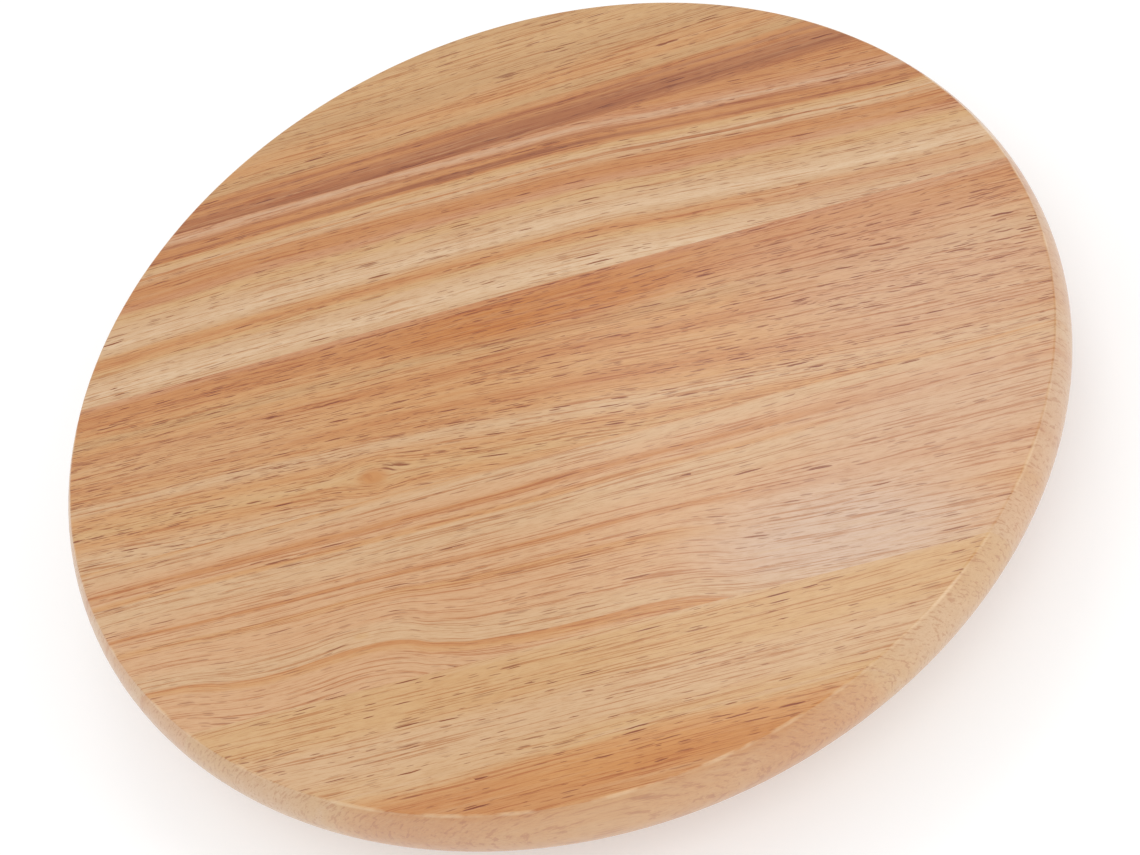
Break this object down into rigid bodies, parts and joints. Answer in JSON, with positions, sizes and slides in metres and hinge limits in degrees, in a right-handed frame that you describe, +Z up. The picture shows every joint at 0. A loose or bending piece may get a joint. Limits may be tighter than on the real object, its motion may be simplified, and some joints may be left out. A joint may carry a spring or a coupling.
{
  "type": "lazy susan turntable",
  "caption": "Round wooden lazy susan: an edge-glued board with a rounded edge that spins on a steel ball bearing over a smaller round base with rubber feet.",
  "frame": {"origin": "on the spin axis, in the plane that the feet rest on", "axes": "+Z up along the spin axis, +X along the grain of the board and of the base"},
  "size_m": [0.3556, 0.3556, 0.049],
  "materials": {
    "board_wood": "lacquered rubberwood, satin to glossy, long grain with short dark pores",
    "base_wood": "lacquered rubberwood, satin",
    "plate_steel": "zinc-plated stamped sheet",
    "ball_steel": "polished",
    "retainer_steel": "punched strip",
    "screw_steel": "zinc-plated",
    "foot_rubber": "matt moulded",
    "washer_steel": "zinc-plated"
  },
  "bodies": {
    "base": {"base_stave_1": "base_wood", "base_stave_2": "base_wood", "base_stave_3": "base_wood", "bearing_lower_plate": "plate_steel", "lower_plate_screws": "screw_steel", "foot_1": "foot_rubber", "foot_2": "foot_rubber", "foot_3": "foot_rubber", "foot_4": "foot_rubber", "foot_washer_1": "washer_steel", "foot_washer_2": "washer_steel", "foot_washer_3": "washer_steel", "foot_washer_4": "washer_steel", "foot_screws": "screw_steel"},
    "turntable": {"board_stave_1": "board_wood", "board_stave_2": "board_wood", "board_stave_3": "board_wood", "board_stave_4": "board_wood", "board_stave_5": "board_wood", "bearing_upper_plate": "plate_steel", "upper_plate_screws": "screw_steel"},
    "ball_ring": {"bearing_balls": "ball_steel", "ball_retainer": "retainer_steel"}
  },
  "joints": [
    {"name": "turntable_spin", "type": "hinge", "parent": "base", "child": "turntable", "pos_m": [0, 0, 0.026], "axis": [0, 0, 1], "continuous": true},
    {"name": "ball_ring_orbit", "type": "hinge", "parent": "base", "child": "ball_ring", "pos_m": [0, 0, 0.022], "axis": [0, 0, 1], "continuous": true}
  ],
  "couplings": [
    {"joint": "ball_ring_orbit", "follows": "turntable_spin", "ratio": 0.5}
  ]
}
